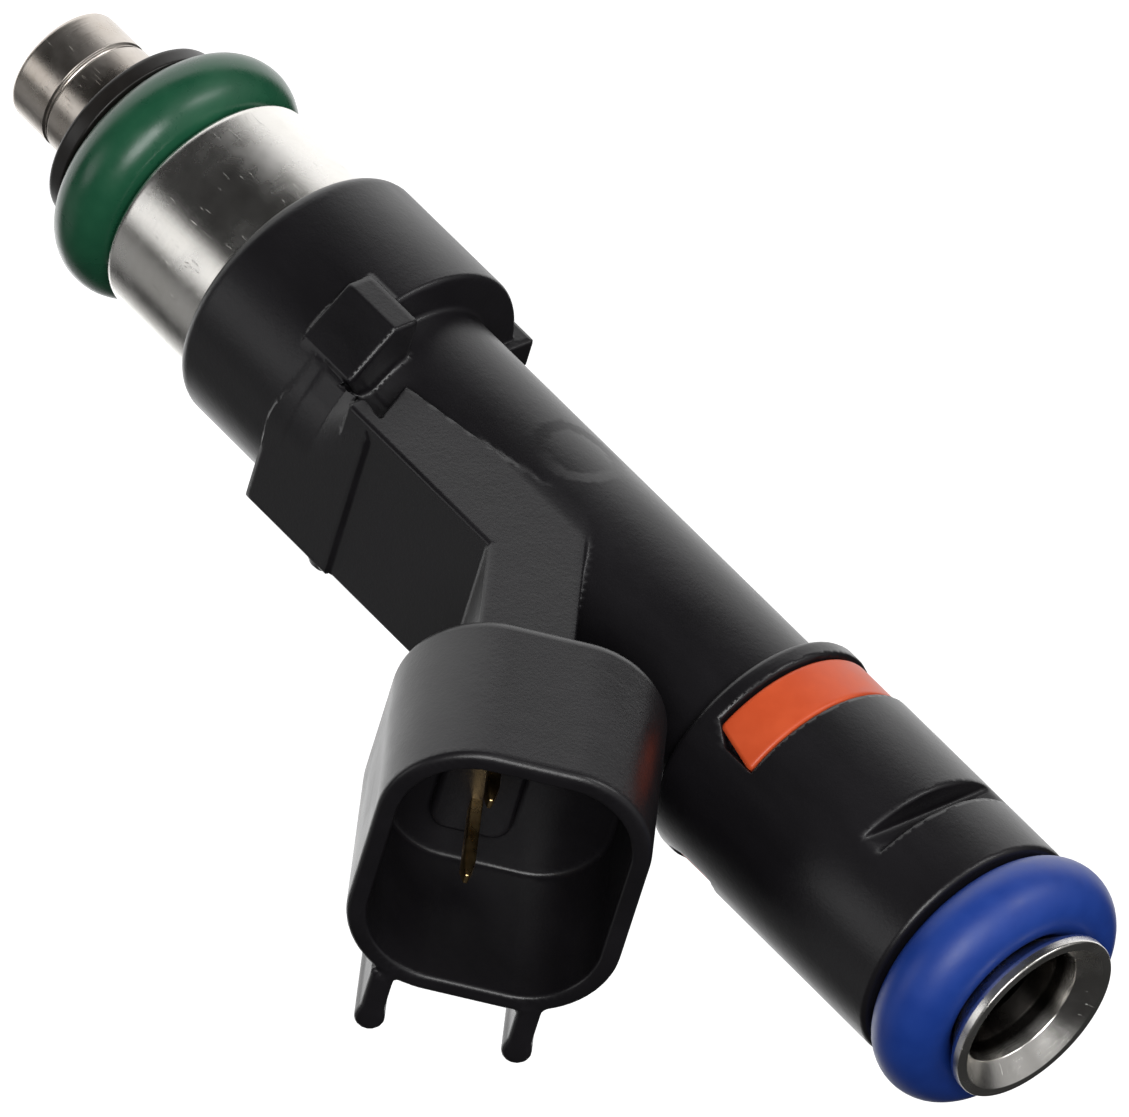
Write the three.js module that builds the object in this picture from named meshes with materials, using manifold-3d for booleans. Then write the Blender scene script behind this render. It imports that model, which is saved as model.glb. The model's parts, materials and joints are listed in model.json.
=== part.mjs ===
// Port fuel injector, long body, with its two-pin electrical connector.
// Millimetres. +Z runs along the injector from the spray tip to the fuel inlet, +X is the side of
// the connector, and the origin is on the axis at the middle of the nozzle O-ring.
import * as THREE from 'three';
import { mergeVertices } from 'three/addons/utils/BufferGeometryUtils.js';
import Module from 'manifold-3d';

const wasm = await Module();
wasm.setup();

// ---- driving dimensions -------------------------------------------------------------------
const FIT = 0.06; // gap between pressed or moulded round faces
const MOULD_GAP = 0.15; // gap all round a terminal in the plastic
const SEG = 40; // sides of the large round parts
const SEG_SMALL = 24; // sides of the inner round parts

const INLET_SEAL = { z: 65.85, outer: 7.3, halfRadial: 1.93, halfAxial: 2.08 };
const NOZZLE_SEAL = { z: 0, outer: 7.42, halfRadial: 1.95, halfAxial: 2.2 };

const TIP_Z = -9.55;
const SLEEVE_R = 3.42;
const SLEEVE_BORE_R = 2.95;
const SLEEVE_TOP_Z = 30;
const COLLAR_R = 5.55;
const COLLAR_Z = [-3.75, -2.35];

const HOUSING_R = 6.66;
const HOUSING_BORE_R = 5.9;
const HOUSING_Z = [2.45, 16.0];
const HOUSING_FLOOR = 1.7;
const COVER_Z = [14.3, 15.8];
const BOBBIN_Z = [4.5, 14.0];
const BOBBIN_FLANGE = 0.8;
const BOBBIN_CORE_R = 3.9;
const BOBBIN_FLANGE_R = 5.75;
const WINDING_R = 5.5;

const POLE_Z = [10.12, 26];
const POLE_BORE_R = 1.55;
const ARMATURE_Z = [2, 10];
const ARMATURE_R = 2.82;
const NEEDLE_R = 1.1;
const NEEDLE_BORE_R = 0.75;
const NEEDLE_TOP_Z = 5;
const BALL_R = 1.5;
const BALL_Z = -6.9;
const SEAT_Z = [-8.95, -5.7];
const DISC_Z = [-9.25, -9.0];
const SPRING_Z = [5.1, 15.3];
const SPRING_COIL_R = 1.26;
const SPRING_WIRE_R = 0.14;
const SPRING_TURNS = 8;
const ADJUSTER_Z = [15.5, 23.5];

const INLET_TUBE_R = 3.36;
const INLET_LIP_R = 4.97;
const INLET_TOP_Z = 69.1;
const SOCKET_Z = [26.6, 30.4];
const SOCKET_R = 3.9;
const SOCKET_STEP = 0.4;
const FILTER_Z = [47, 62];
const FILTER_RING_LENGTH = 2.5;

const RING_R = 7.68; // plastic round the coil
const RING_Z = [9.55, 18.35];
const STEM_R = 5.55; // slim middle of the body
const HEAD_R = 6.7; // plastic at the inlet end
const HEAD_Z = [46.85, 63.75];
const GROOVE_Z = [48.1, 51.3]; // seat of the coding ring
const GROOVE_R = 5.9;
const RING_PLAY = 0.12; // gap at each side of the coding ring in its groove
const CODING_GAP = [-39, 30].map(THREE.MathUtils.degToRad); // where the ring is open, measured from +X
const CLIP_SLOT_Z = [58.5, 59.65];
const CLIP_SLOT_FLAT = 5.15; // distance of the slot's floor from the axis

const ARM_HALF_WIDTH = 5.05;
const ARM_X = 7.68;
const BLOCK_X = 7.85;
const BLOCK_HALF_WIDTH = 5.2;
const BLOCK_Z = [16.9, 23.45];
const LUG_Z = [16.1, 20.05];
const POCKET_FLOOR = 3.4; // distance of the side pocket's floor from the middle plane
const BACK_LUG = { x: [-8.6, -5], y: [-0.9, 0.9], z: [16.9, 18.9] };

const CONNECTOR_TILT = Math.PI / 4; // angle of the connector above +X
const RIM_CENTRE = [19.1, 49.05]; // x and z of the middle of the connector's mouth
const SHROUD_HALF = [8.07, 7.0]; // half width along Y, half height across the connector
const SHROUD_LENGTH = 10.8;
const SHROUD_CORNER_R = 5;
const SHROUD_WALL = 1.05;
const SOCKET_DEPTH = 9.3;
const RAIL_HEIGHTS = [-4.15, 3.45]; // across the connector, from its middle
const RAIL_WIDTH = 1.56;
const RAIL_REACH = 11.5; // distance of the guide rails' rounded edge from the middle plane
const RAIL_LENGTH = 6;

const PIN_Y = 2.6;
const PIN_WIDTH = 1.0;
const PIN_THICKNESS = 0.64;
const PIN_RECESS = 2.8;
const PIN_OFFSET = -1.3; // the pins sit on the outer side of the socket's middle

// ---- materials ------------------------------------------------------------------------------
const finish = (color, roughness, metalness) =>
  new THREE.MeshStandardMaterial({ color, roughness, metalness });
const bareSteel = () => finish(0xb9b4ac, 0.3, 1);
const darkSteel = () => finish(0x8a8780, 0.4, 1);
const blackPlastic = () => finish(0x222124, 0.55, 0);
const rubber = (color) => finish(color, 0.4, 0);

// ---- geometry helpers -----------------------------------------------------------------------
const vec2 = ([x, y]) => new THREE.Vector2(x, y);

// A solid of revolution about Z. A profile off the axis closes on itself.
function turned(profile, segments = SEG) {
  const points = profile.map(vec2);
  const onAxis = profile[0][0] === 0 && profile.at(-1)[0] === 0;
  if (!onAxis) points.push(points[0].clone());
  return new THREE.LatheGeometry(points, segments).rotateX(Math.PI / 2);
}

// A plain tube between two heights.
const tube = (inner, outer, [low, high], segments) =>
  turned([[inner, low], [outer, low], [outer, high], [inner, high]], segments);

// An outline in the XZ plane made into a plate between two values of Y.
function plateAcrossY(outline, low, high) {
  const shape = new THREE.Shape(outline.map(vec2));
  const plate = new THREE.ExtrudeGeometry(shape, { depth: high - low, bevelEnabled: false });
  return plate.rotateX(Math.PI / 2).translate(0, high, 0);
}

// An outline in the XY plane made into a prism between two heights.
function prism(outline, [low, high]) {
  const shape = new THREE.Shape(outline.map(vec2));
  return new THREE.ExtrudeGeometry(shape, { depth: high - low, bevelEnabled: false }).translate(0, 0, low);
}

const box = (xs, ys, zs) =>
  new THREE.BoxGeometry(xs[1] - xs[0], ys[1] - ys[0], zs[1] - zs[0]).translate(
    (xs[0] + xs[1]) / 2,
    (ys[0] + ys[1]) / 2,
    (zs[0] + zs[1]) / 2,
  );

function solid(geometry) {
  const bare = geometry.clone();
  bare.deleteAttribute('normal');
  bare.deleteAttribute('uv');
  const merged = mergeVertices(bare, 1e-4);
  return new wasm.Manifold(
    new wasm.Mesh({
      numProp: 3,
      vertProperties: new Float32Array(merged.attributes.position.array),
      triVerts: new Uint32Array(merged.index.array),
    }),
  );
}

function geometryOf(manifold) {
  const mesh = manifold.getMesh();
  const geometry = new THREE.BufferGeometry();
  geometry.setAttribute('position', new THREE.BufferAttribute(mesh.vertProperties, 3));
  geometry.setIndex(new THREE.BufferAttribute(mesh.triVerts, 1));
  geometry.computeVertexNormals();
  return geometry;
}

const joined = (geometries) => geometries.map(solid).reduce((whole, next) => whole.add(next));
const cutAway = (whole, geometries) => geometries.reduce((rest, next) => rest.subtract(solid(next)), whole);

function named(name, geometry, material) {
  const mesh = new THREE.Mesh(geometry, material);
  mesh.name = name;
  return mesh;
}

// ---- the connector's own frame: X across it, Y towards the injector's axis, Z out of its mouth ----
const mouthward = new THREE.Vector3(Math.cos(CONNECTOR_TILT), 0, Math.sin(CONNECTOR_TILT));
const across = new THREE.Vector3(0, 1, 0);
const inward = new THREE.Vector3(-Math.sin(CONNECTOR_TILT), 0, Math.cos(CONNECTOR_TILT));
const connectorFrame = new THREE.Matrix4()
  .makeBasis(across, inward, mouthward)
  .setPosition(RIM_CENTRE[0], 0, RIM_CENTRE[1]);

// A point of the connector's middle plane, as x and z: height across the socket, distance out of its mouth.
function connectorPoint(height, out) {
  return [
    RIM_CENTRE[0] + inward.x * height + mouthward.x * out,
    RIM_CENTRE[1] + inward.z * height + mouthward.z * out,
  ];
}

function roundedRectangle(halfWidth, halfHeight, corner) {
  const shape = new THREE.Shape();
  const corners = [[1, 1, 0], [-1, 1, 1], [-1, -1, 2], [1, -1, 3]];
  for (const [sideX, sideY, quarter] of corners) {
    const start = (quarter * Math.PI) / 2;
    const centreX = sideX * (halfWidth - corner);
    const centreY = sideY * (halfHeight - corner);
    shape.absarc(centreX, centreY, corner, start, start + Math.PI / 2);
  }
  return shape;
}

const alongConnector = (shape, from, to, curveSegments = 6) =>
  new THREE.ExtrudeGeometry(shape, { depth: to - from, bevelEnabled: false, curveSegments })
    .translate(0, 0, from)
    .applyMatrix4(connectorFrame);

function railShape(height) {
  const half = RAIL_WIDTH / 2;
  const root = SHROUD_HALF[0] - SHROUD_WALL / 2;
  const shape = new THREE.Shape();
  shape.moveTo(root, height - half);
  shape.lineTo(RAIL_REACH - half, height - half);
  shape.absarc(RAIL_REACH - half, height, half, -Math.PI / 2, Math.PI / 2);
  shape.lineTo(root, height + half);
  return shape;
}

// ---- plastic moulding: body, coil ring, arm and connector are one piece --------------------------
function bodyProfile() {
  const lipRound = 0.9;
  const edge = 0.25;
  return [
    [0, RING_Z[0]],
    [RING_R - lipRound * 0.6, RING_Z[0]],
    [RING_R - lipRound * 0.2, RING_Z[0] + lipRound * 0.35],
    [RING_R, RING_Z[0] + lipRound],
    [RING_R, RING_Z[1] - edge],
    [RING_R - edge, RING_Z[1]],
    [STEM_R, RING_Z[1]],
    [STEM_R, HEAD_Z[0] - edge],
    [HEAD_R - edge, HEAD_Z[0]],
    [HEAD_R, HEAD_Z[0] + edge],
    [HEAD_R, GROOVE_Z[0]],
    [GROOVE_R, GROOVE_Z[0]],
    [GROOVE_R, GROOVE_Z[1]],
    [HEAD_R, GROOVE_Z[1]],
    [HEAD_R, HEAD_Z[1] - edge],
    [HEAD_R - edge, HEAD_Z[1]],
    [0, HEAD_Z[1]],
  ];
}

// The groove is filled between the coding ring's ends, which keeps the ring from turning.
function grooveKey() {
  const play = 0.02;
  const outer = HEAD_R * Math.cos(Math.PI / SEG);
  const shape = new THREE.Shape();
  shape.absarc(0, 0, outer, CODING_GAP[0] + play, CODING_GAP[1] - play);
  shape.absarc(0, 0, GROOVE_R - 0.5, CODING_GAP[1] - play, CODING_GAP[0] + play, true);
  const depth = GROOVE_Z[1] - GROOVE_Z[0] + 0.4;
  return new THREE.ExtrudeGeometry(shape, { depth, bevelEnabled: false }).translate(0, 0, GROOVE_Z[0] - 0.2);
}

// Room for the coil housing, the sleeve and the inlet tube.
function boreProfile() {
  const below = RING_Z[0] - 1;
  const above = HEAD_Z[1] + 1;
  return [
    [0, below],
    [HOUSING_R + FIT, below],
    [HOUSING_R + FIT, HOUSING_Z[1] + FIT],
    [SLEEVE_R + FIT, HOUSING_Z[1] + FIT],
    [SLEEVE_R + FIT, SOCKET_Z[0] - FIT],
    [SOCKET_R + FIT, SOCKET_Z[0] - FIT],
    [SOCKET_R + FIT, SOCKET_Z[1] + FIT],
    [INLET_TUBE_R + FIT, SOCKET_Z[1] + SOCKET_STEP + FIT],
    [INLET_TUBE_R + FIT, above],
    [0, above],
  ];
}

// The arm leaves the coil ring, runs beside the stem and bends out into the back of the connector.
function armOutline() {
  const backOut = -SHROUD_LENGTH + 0.6;
  const bendZ = 32.85;
  return [
    [0, BLOCK_Z[1] - 2],
    [ARM_X, BLOCK_Z[1] - 2],
    [ARM_X, bendZ],
    connectorPoint(-3.3, backOut),
    connectorPoint(1.7, backOut),
    [3.2, 35.45],
    [0, 32.25],
  ];
}

// A thin web stiffens the corner between the stem and the back of the connector.
function webOutline() {
  const backOut = -SHROUD_LENGTH + 0.6;
  return [[2, 34], connectorPoint(1, backOut), connectorPoint(5, backOut), [STEM_R - 0.5, 44.5], [2, 44.5]];
}

function lugOutline(side) {
  const points = [[2.3, 7.45], [3.9, 7.45], [6.3, 4.7], [5, 3], [2.3, 4.5]];
  return points.map(([x, y]) => [x, side * y]);
}

// The foot of the arm, bevelled along the edge beside the lug.
const blockOutline = () => [
  [0, -BLOCK_HALF_WIDTH],
  [5.4, -BLOCK_HALF_WIDTH],
  [BLOCK_X, -3.2],
  [BLOCK_X, BLOCK_HALF_WIDTH],
  [0, BLOCK_HALF_WIDTH],
];

// A deep recess in the arm's side, between the lug and the arm's slanted end.
function pocketOutline() {
  const low = LUG_Z[1] - 0.5;
  return [[0, low], [6.2, low], [6.8, 23.1], [3.9, 21.65], [2.1, 31], [0, 31]];
}

function terminalPath(reach) {
  const legX = 6.0;
  const footX = 4.6;
  const jogZ = 17.1;
  const tip = connectorPoint(PIN_OFFSET, reach);
  const bendZ = tip[1] - (tip[0] - legX) * Math.tan(CONNECTOR_TILT);
  return [[footX, BOBBIN_Z[1] + FIT], [footX, jogZ], [legX, jogZ], [legX, bendZ], tip];
}

// The outline of a strip of constant thickness that follows a path, with mitred corners.
function stripOutline(path, thickness) {
  const points = path.map(vec2);
  const sides = [[], []];
  points.forEach((point, i) => {
    const before = points[Math.max(i - 1, 0)];
    const after = points[Math.min(i + 1, points.length - 1)];
    const backward = i > 0 ? point.clone().sub(before) : after.clone().sub(point);
    const arriving = backward.normalize();
    const leaving = i < points.length - 1 ? after.clone().sub(point).normalize() : arriving.clone();
    const along = arriving.clone().add(leaving).normalize();
    const reach = thickness / 2 / along.dot(arriving);
    sides[0].push([point.x - along.y * reach, point.y + along.x * reach]);
    sides[1].unshift([point.x + along.y * reach, point.y - along.x * reach]);
  });
  return [...sides[1].reverse(), ...sides[0].reverse()];
}

function terminal(side, spare = 0) {
  const half = PIN_WIDTH / 2 + spare;
  const path = terminalPath(-PIN_RECESS);
  path[0][1] -= spare;
  const outline = stripOutline(path, PIN_THICKNESS + 2 * spare);
  return plateAcrossY(outline, side * PIN_Y - half, side * PIN_Y + half);
}

function mouldedBody() {
  const shroud = roundedRectangle(SHROUD_HALF[0], SHROUD_HALF[1], SHROUD_CORNER_R);
  const socketHalf = SHROUD_HALF.map((half) => half - SHROUD_WALL);
  const socket = roundedRectangle(socketHalf[0], socketHalf[1], SHROUD_CORNER_R - SHROUD_WALL);
  const arm = joined([
    plateAcrossY(armOutline(), -ARM_HALF_WIDTH, ARM_HALF_WIDTH),
    prism(blockOutline(), BLOCK_Z),
  ]);
  const pocketed = cutAway(arm, [plateAcrossY(pocketOutline(), -BLOCK_HALF_WIDTH - 1, -POCKET_FLOOR)]);
  const rest = joined([
    turned(bodyProfile()),
    grooveKey(),
    plateAcrossY(webOutline(), -1.5, 1.5),
    prism(lugOutline(1).reverse(), LUG_Z),
    prism(lugOutline(-1), LUG_Z),
    box(BACK_LUG.x, BACK_LUG.y, BACK_LUG.z),
    alongConnector(shroud, -SHROUD_LENGTH, 0),
    ...RAIL_HEIGHTS.map((height) => alongConnector(railShape(height), -RAIL_LENGTH, 0)),
  ]);
  const slot = (side) => {
    const floor = side * CLIP_SLOT_FLAT;
    const outside = side * (HEAD_R + 1);
    return box([-HEAD_R, HEAD_R], [Math.min(floor, outside), Math.max(floor, outside)], CLIP_SLOT_Z);
  };
  const cut = cutAway(rest.add(pocketed), [
    turned(boreProfile()),
    alongConnector(socket, -SOCKET_DEPTH, 1),
    terminal(1, MOULD_GAP),
    terminal(-1, MOULD_GAP),
    slot(1),
    slot(-1),
  ]);
  return geometryOf(cut);
}

// ---- inlet ----------------------------------------------------------------------------------
function inletTube() {
  return turned([
    [SLEEVE_R + FIT, SOCKET_Z[0]],
    [SOCKET_R, SOCKET_Z[0]],
    [SOCKET_R, SOCKET_Z[1]],
    [INLET_TUBE_R, SOCKET_Z[1] + SOCKET_STEP],
    [INLET_TUBE_R, 66.85],
    [INLET_LIP_R - 0.1, 68.4],
    [INLET_LIP_R, 68.55],
    [INLET_LIP_R, INLET_TOP_Z - 0.12],
    [INLET_LIP_R - 0.12, INLET_TOP_Z],
    [4.5, INLET_TOP_Z],
    [3.95, INLET_TOP_Z - 0.4],
    [3.5, INLET_TOP_Z - 1.5],
    [3.05, INLET_TOP_Z - 2.3],
    [SLEEVE_BORE_R, INLET_TOP_Z - 3.4],
    [SLEEVE_BORE_R, SLEEVE_TOP_Z + FIT],
    [SLEEVE_R + FIT, SLEEVE_TOP_Z + FIT],
  ]);
}

function oRing({ z, outer, halfRadial, halfAxial }) {
  const sides = 12;
  const middleR = outer - halfRadial;
  const profile = [];
  for (let i = 0; i < sides; i += 1) {
    const angle = (i / sides) * 2 * Math.PI;
    profile.push([middleR + halfRadial * Math.cos(angle), z + halfAxial * Math.sin(angle)]);
  }
  return turned(profile);
}

// The filter is a screen inside a windowed frame, which a brass ring holds in the inlet's bore.
const filterRingZ = [FILTER_Z[1] - FILTER_RING_LENGTH, FILTER_Z[1]];
const filterRing = () => tube(2.4, SLEEVE_BORE_R - FIT, filterRingZ, SEG_SMALL);
const filterScreen = () => tube(1.7, 1.9, [FILTER_Z[0] + 0.9, FILTER_Z[1] - 0.4], SEG_SMALL);

function filterFrame() {
  const [low, high] = FILTER_Z;
  const outer = 2.35;
  const inner = 1.95;
  const neckZ = high - FILTER_RING_LENGTH;
  const floorZ = low + 0.8;
  const profile = [[0, low], [outer, low], [outer, high], [inner, high], [inner, floorZ], [0, floorZ]];
  const whole = solid(turned(profile, SEG_SMALL));
  const window = (turn) =>
    box([0.6, outer + 1], [-1.1, 1.1], [low + 1.6, neckZ - 0.8]).rotateZ((turn * 2 * Math.PI) / 3);
  return geometryOf(cutAway(whole, [0, 1, 2].map(window)));
}

// ---- coding ring: an open ring in the groove near the inlet -----------------------------------------
function codingRing() {
  const inner = GROOVE_R + FIT;
  const outer = 6.52;
  const shape = new THREE.Shape();
  shape.absarc(0, 0, outer, CODING_GAP[1], CODING_GAP[0] + 2 * Math.PI);
  shape.absarc(0, 0, inner, CODING_GAP[0] + 2 * Math.PI, CODING_GAP[1], true);
  const low = GROOVE_Z[0] + RING_PLAY;
  const depth = GROOVE_Z[1] - RING_PLAY - low;
  const ring = new THREE.ExtrudeGeometry(shape, { depth, bevelEnabled: false, curveSegments: 32 });
  return ring.translate(0, 0, low);
}

// ---- magnet ---------------------------------------------------------------------------------
function magnetHousing() {
  const edge = 0.35;
  const floorZ = HOUSING_Z[0] + HOUSING_FLOOR;
  return turned([
    [SLEEVE_R + FIT, HOUSING_Z[0]],
    [HOUSING_R - edge, HOUSING_Z[0]],
    [HOUSING_R, HOUSING_Z[0] + edge],
    [HOUSING_R, HOUSING_Z[1]],
    [HOUSING_BORE_R, HOUSING_Z[1]],
    [HOUSING_BORE_R, floorZ],
    [SLEEVE_R + FIT, floorZ],
  ]);
}

function magnetCover() {
  const ring = tube(SLEEVE_R + FIT, HOUSING_BORE_R - FIT, COVER_Z);
  const terminalSlot = box([3.9, HOUSING_BORE_R + 1], [-3.6, 3.6], [COVER_Z[0] - 1, COVER_Z[1] + 1]);
  return geometryOf(cutAway(solid(ring), [terminalSlot]));
}

function coilBobbin() {
  const [low, high] = BOBBIN_Z;
  return turned([
    [SLEEVE_R + FIT, low],
    [BOBBIN_FLANGE_R, low],
    [BOBBIN_FLANGE_R, low + BOBBIN_FLANGE],
    [BOBBIN_CORE_R, low + BOBBIN_FLANGE],
    [BOBBIN_CORE_R, high - BOBBIN_FLANGE],
    [BOBBIN_FLANGE_R, high - BOBBIN_FLANGE],
    [BOBBIN_FLANGE_R, high],
    [SLEEVE_R + FIT, high],
  ]);
}

function coilWinding() {
  const margin = BOBBIN_FLANGE + FIT;
  return tube(BOBBIN_CORE_R + FIT, WINDING_R, [BOBBIN_Z[0] + margin, BOBBIN_Z[1] - margin]);
}

// The pole that the armature is pulled up to.
const innerPole = () => tube(POLE_BORE_R, SLEEVE_BORE_R - FIT, POLE_Z, SEG_SMALL);

// ---- valve ----------------------------------------------------------------------------------
function valveSleeve() {
  const edge = 0.35;
  const weldZ = -6.7;
  const weldDepth = 0.12;
  return turned([
    [SLEEVE_BORE_R, TIP_Z],
    [SLEEVE_R - edge + 0.05, TIP_Z],
    [SLEEVE_R, TIP_Z + edge],
    [SLEEVE_R, weldZ - 0.15],
    [SLEEVE_R - weldDepth, weldZ],
    [SLEEVE_R, weldZ + 0.15],
    [SLEEVE_R, SLEEVE_TOP_Z],
    [SLEEVE_BORE_R, SLEEVE_TOP_Z],
  ]);
}

function nozzleCollar() {
  const edge = 0.25;
  const [low, high] = COLLAR_Z;
  return turned([
    [SLEEVE_R + FIT, low],
    [COLLAR_R - edge, low],
    [COLLAR_R, low + edge],
    [COLLAR_R, high - 0.3],
    [COLLAR_R - 0.8, high],
    [SLEEVE_R + FIT, high],
  ]);
}

// The seat holds the ball in a cone and guides it in a bore, with four channels for the fuel.
function valveSeat() {
  const throat = 0.5;
  const play = 0.05;
  const guide = BALL_R + play;
  const apexZ = BALL_Z - (BALL_R + play) * Math.SQRT2;
  const whole = solid(
    turned(
      [
        [throat, SEAT_Z[0]],
        [SLEEVE_BORE_R - FIT, SEAT_Z[0]],
        [SLEEVE_BORE_R - FIT, SEAT_Z[1]],
        [guide, SEAT_Z[1]],
        [guide, apexZ + guide],
        [throat, apexZ + throat],
      ],
      SEG_SMALL,
    ),
  );
  const channelR = 0.35;
  const channelZ = apexZ + guide;
  const length = SEAT_Z[1] - channelZ + 1;
  const channel = (quarter) =>
    new THREE.CylinderGeometry(channelR, channelR, length, 10)
      .rotateX(Math.PI / 2)
      .translate(guide, 0, channelZ + length / 2)
      .rotateZ(((quarter + 0.5) * Math.PI) / 2);
  return geometryOf(cutAway(whole, [0, 1, 2, 3].map(channel)));
}

// A thin plate with a ring of spray holes.
function sprayDisc() {
  const holes = 6;
  const holeR = 0.14;
  const holeCircle = 0.6;
  const shape = new THREE.Shape();
  shape.absarc(0, 0, SLEEVE_BORE_R - FIT, 0, 2 * Math.PI);
  for (let i = 0; i < holes; i += 1) {
    const angle = (i / holes) * 2 * Math.PI;
    const hole = new THREE.Path();
    hole.absarc(holeCircle * Math.cos(angle), holeCircle * Math.sin(angle), holeR, 0, 2 * Math.PI, true);
    shape.holes.push(hole);
  }
  const depth = DISC_Z[1] - DISC_Z[0];
  const disc = new THREE.ExtrudeGeometry(shape, { depth, bevelEnabled: false, curveSegments: 8 });
  return disc.translate(0, 0, DISC_Z[0]);
}

const valveBall = () => {
  const sides = 14;
  const profile = [];
  for (let i = 0; i <= sides; i += 1) {
    const angle = -Math.PI / 2 + (i / sides) * Math.PI;
    const onPole = i === 0 || i === sides;
    profile.push([onPole ? 0 : BALL_R * Math.cos(angle), BALL_Z + BALL_R * Math.sin(angle)]);
  }
  return turned(profile, 24);
};

// The needle is a tube with two fuel holes near the ball.
function needleTube() {
  const footZ = BALL_Z + Math.sqrt(BALL_R ** 2 - NEEDLE_BORE_R ** 2) + 0.04;
  const whole = solid(tube(NEEDLE_BORE_R, NEEDLE_R, [footZ, NEEDLE_TOP_Z], 24));
  const hole = new THREE.CylinderGeometry(0.4, 0.4, 4, 12).rotateZ(Math.PI / 2).translate(0, 0, footZ + 1.5);
  return geometryOf(cutAway(whole, [hole]));
}

function armature() {
  const [low, high] = ARMATURE_Z;
  const shoulder = NEEDLE_TOP_Z - 0.4;
  const wideBore = 1.6;
  return turned(
    [
      [NEEDLE_R + 0.03, low],
      [ARMATURE_R - 0.3, low],
      [ARMATURE_R, low + 0.3],
      [ARMATURE_R, high],
      [wideBore, high],
      [wideBore, shoulder],
      [NEEDLE_R + 0.03, shoulder],
    ],
    SEG_SMALL,
  );
}

class CoilCurve extends THREE.Curve {
  getPoint(t, target = new THREE.Vector3()) {
    const angle = t * SPRING_TURNS * 2 * Math.PI;
    const rise = SPRING_Z[1] - SPRING_Z[0] - 2 * SPRING_WIRE_R;
    return target.set(
      SPRING_COIL_R * Math.cos(angle),
      SPRING_COIL_R * Math.sin(angle),
      SPRING_Z[0] + SPRING_WIRE_R + rise * t,
    );
  }
}

function closingSpring() {
  const wire = new THREE.Shape();
  wire.absarc(0, 0, SPRING_WIRE_R, 0, 2 * Math.PI);
  return new THREE.ExtrudeGeometry(wire, {
    steps: SPRING_TURNS * 14,
    curveSegments: 3,
    bevelEnabled: false,
    extrudePath: new CoilCurve(),
  });
}

// The spring's stop is a rolled sleeve with a slit along it.
function adjustingSleeve() {
  const outer = POLE_BORE_R - FIT;
  const ring = tube(1.1, outer, ADJUSTER_Z, SEG_SMALL);
  const slit = box([0.5, outer + 1], [-0.2, 0.2], [ADJUSTER_Z[0] - 1, ADJUSTER_Z[1] + 1]);
  return geometryOf(cutAway(solid(ring), [slit]));
}

// ---- the assembly ------------------------------------------------------------------------------
const injector = new THREE.Group();
injector.add(
  named('inlet_tube', inletTube(), bareSteel()),
  named('inlet_oring', oRing(INLET_SEAL), rubber(0x26489b)),
  named('filter_ring', filterRing(), finish(0xb08d3e, 0.35, 1)),
  named('filter_frame', filterFrame(), finish(0xcfc8b0, 0.6, 0)),
  named('filter_screen', filterScreen(), finish(0xe0dccb, 0.8, 0)),
  named('moulded_body', mouldedBody(), blackPlastic()),
  named('coding_ring', codingRing(), finish(0xe8622e, 0.45, 0)),
  named('terminal_left', terminal(-1), finish(0xc9a24a, 0.3, 1)),
  named('terminal_right', terminal(1), finish(0xc9a24a, 0.3, 1)),
  named('magnet_housing', magnetHousing(), bareSteel()),
  named('magnet_cover', magnetCover(), darkSteel()),
  named('coil_bobbin', coilBobbin(), finish(0x2c2a28, 0.6, 0)),
  named('coil_winding', coilWinding(), finish(0xa4522a, 0.4, 1)),
  named('valve_sleeve', valveSleeve(), bareSteel()),
  named('nozzle_oring', oRing(NOZZLE_SEAL), rubber(0x235c42)),
  named('nozzle_collar', nozzleCollar(), finish(0x3a3431, 0.5, 0)),
  named('inner_pole', innerPole(), darkSteel()),
  named('adjusting_sleeve', adjustingSleeve(), darkSteel()),
  named('closing_spring', closingSpring(), darkSteel()),
  named('armature', armature(), darkSteel()),
  named('needle_tube', needleTube(), bareSteel()),
  named('valve_ball', valveBall(), bareSteel()),
  named('valve_seat', valveSeat(), bareSteel()),
  named('spray_disc', sprayDisc(), bareSteel()),
);

export default injector;
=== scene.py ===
import json
import math

import bpy
import numpy as np
from mathutils import Matrix, Vector


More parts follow.
